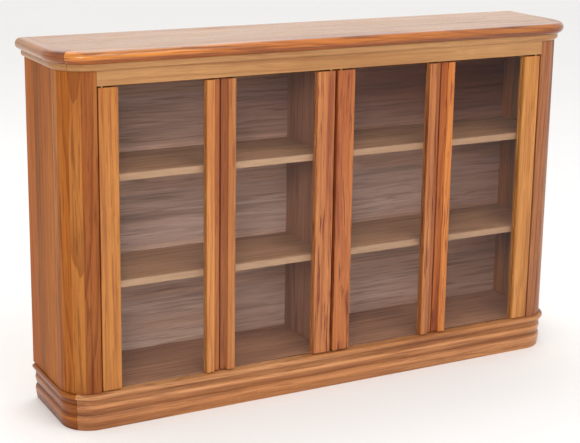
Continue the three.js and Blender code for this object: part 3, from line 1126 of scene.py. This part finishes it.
def shelf_timbers():
    """The shelf boards and the strips along their front edges."""
    board = Palette((182, 136, 103), (165, 120, 87), (130, 88, 63), (111, 72, 51))
    strip = Palette((182, 144, 112), (173, 133, 102), (150, 106, 77), (142, 95, 66))
    return (
        timber("shelf_timber", "x", 50, board, specular=0.1, coat=0.0),
        timber("shelf_lipping_timber", "x", 51, strip, rings=0.1, veins=0.2, flecks=0.2),
    )


# ---- Stage ----

FLOOR_REACH = 60.0
WORLD_STRENGTH = 0.92


def add_floor():
    """The studio floor."""
    mesh = bpy.data.meshes.new("floor")
    signs = ((-1, -1), (1, -1), (1, 1), (-1, 1))
    corners = [(x * FLOOR_REACH, y * FLOOR_REACH, 0) for x, y in signs]
    mesh.from_pydata(corners, [], [(0, 1, 2, 3)])
    mesh.materials.append(studio_floor())
    floor = bpy.data.objects.new("floor", mesh)
    floor.location.z = cad_bounds[0][2]
    bpy.context.scene.collection.objects.link(floor)


def add_world():
    """An even pale surrounding."""
    world = bpy.data.worlds.new("studio")
    world.use_nodes = True
    background = world.node_tree.nodes["Background"]
    background.inputs["Color"].default_value = (1.0, 0.985, 0.965, 1.0)
    background.inputs["Strength"].default_value = WORLD_STRENGTH
    bpy.context.scene.world = world


def add_light(name, place, target, size, power, colour=(1.0, 1.0, 1.0)):
    """A square soft light that faces a point."""
    light = bpy.data.lights.new(name, "AREA")
    light.shape = "SQUARE"
    light.size = size
    light.energy = power
    light.color = colour
    lamp = bpy.data.objects.new(name, light)
    lamp.location = place
    direction = Vector(target) - lamp.location
    lamp.rotation_euler = direction.to_track_quat("-Z", "Y").to_euler()
    bpy.context.scene.collection.objects.link(lamp)


def add_lights():
    middle = (0.0, 0.0, 0.45)
    top = (0.0, 0.0, 0.9)
    add_light("key", (-2.2, -3.2, 2.4), middle, size=1.0, power=38.0, colour=(1.0, 0.97, 0.93))
    add_light("high_front", (0.4, -2.4, 3.6), middle, size=2.0, power=34.0)
    add_light("top_light", (0.0, 1.6, 3.4), top, size=2.6, power=22.0)


CAMERA_PLACE = (-1.6976, -3.0481, 1.3713)
CAMERA_YAW = 28.24  # degrees to the right of +Y
CAMERA_PITCH = 13.60  # degrees below level
CAMERA_ROLL = 0.87
CAMERA_LENS = 87.36  # millimetres, as is the width of the sensor
CAMERA_SENSOR = 36.0
CAMERA_SHIFT = -0.080
CAMERA_REACH = 200.0


def add_camera():
    data = bpy.data.cameras.new("camera")
    data.lens = CAMERA_LENS
    data.sensor_width = CAMERA_SENSOR
    data.shift_y = CAMERA_SHIFT
    data.clip_end = CAMERA_REACH
    camera = bpy.data.objects.new("camera", data)
    turn = Matrix.Rotation(math.radians(-CAMERA_YAW), 4, "Z")
    tip = Matrix.Rotation(math.radians(90 - CAMERA_PITCH), 4, "X")
    roll = Matrix.Rotation(math.radians(CAMERA_ROLL), 4, "Z")
    camera.matrix_world = Matrix.Translation(CAMERA_PLACE) @ turn @ tip @ roll
    bpy.context.scene.collection.objects.link(camera)
    bpy.context.scene.camera = camera


# ---- Assembly ----


def build_top():
    add_top_panel(top_timber())
    add_top_lipping(lipping_timbers())
    cornices = cornice_timbers()
    add_cornice(cornices)
    add_board("fascia_rail", "fascia_board", cornices["front"])


def build_columns():
    """The rounded corners, golden on the left and pinkish on the right."""
    left_staves = [
        (0.0, (0.84, 0.76, 0.95)),
        (0.30, (1.0, 0.98, 1.0)),
        (0.53, (1.0, 0.88, 0.62)),
        (0.77, (1.0, 1.02, 1.3)),
    ]
    right_staves = [
        (0.0, (1.03, 1.03, 1.03)),
        (0.34, (0.95, 0.95, 0.96)),
        (0.62, (1.03, 1.01, 1.02)),
    ]
    golden = Palette((175, 112, 53), (158, 92, 41), (111, 54, 23), (94, 39, 18))
    pinkish = Palette((180, 126, 87), (162, 104, 69), (114, 62, 42), (97, 45, 34))
    add_column("left", -1, column_timber("left", -1, 8, golden, left_staves))
    add_column("right", 1, column_timber("right", 1, 9, pinkish, right_staves))


def build_case():
    """The sides, back, divider and bottom."""
    orange = Palette((175, 101, 27), (158, 85, 21), (114, 55, 11), (99, 44, 8))
    brown = Palette((180, 122, 74), (162, 102, 60), (116, 64, 38), (98, 47, 30))
    for side, seed, body in (("left", 10, orange), ("right", 11, brown)):
        material = side_timber(side, seed, body)
        add_board(f"side_panel_{side}", f"side_board_{side}", material)
    back, inside, bottom = inside_timbers()
    add_board("back_panel", "back_board", back)
    add_board("centre_divider", "divider_board", inside)
    add_bottom(bottom)


def build_plinth():
    materials = plinth_timbers()
    add_plinth(materials)
    add_board("plinth_back_rail", "plinth_rail", materials["front"])


def build_shelves():
    board, strip = shelf_timbers()
    nickel = metal("shelf_pin_nickel", (226, 222, 214), (172, 166, 156), 0.22)
    for bay, sign in (("left", -1), ("right", 1)):
        for level in ("lower", "upper"):
            add_shelf(bay, level, sign, board, strip)
            for end in ("inner", "outer"):
                for place in ("front", "back"):
                    node = f"shelf_pin_{bay}_{level}_{end}_{place}"
                    pin = turned_pin(f"{node}_turned", node, "x")
                    fit(ease(pin, PIN_EASE), node, nickel)


def build_doors():
    glass = pane_glass()
    brass = metal("pivot_brass", (212, 172, 96), (160, 120, 60), 0.25)
    for number, sign in ((1, 1), (2, -1), (3, 1), (4, -1)):
        hinge = stile_timber(number, "hinge")
        meeting = stile_timber(number, "meeting")
        add_door(number, sign, hinge, meeting, glass, brass)


build_top()
build_columns()
build_case()
build_plinth()
build_shelves()
build_doors()
add_floor()
add_world()
add_lights()
add_camera()
bpy.context.scene.view_settings.view_transform = "Standard"
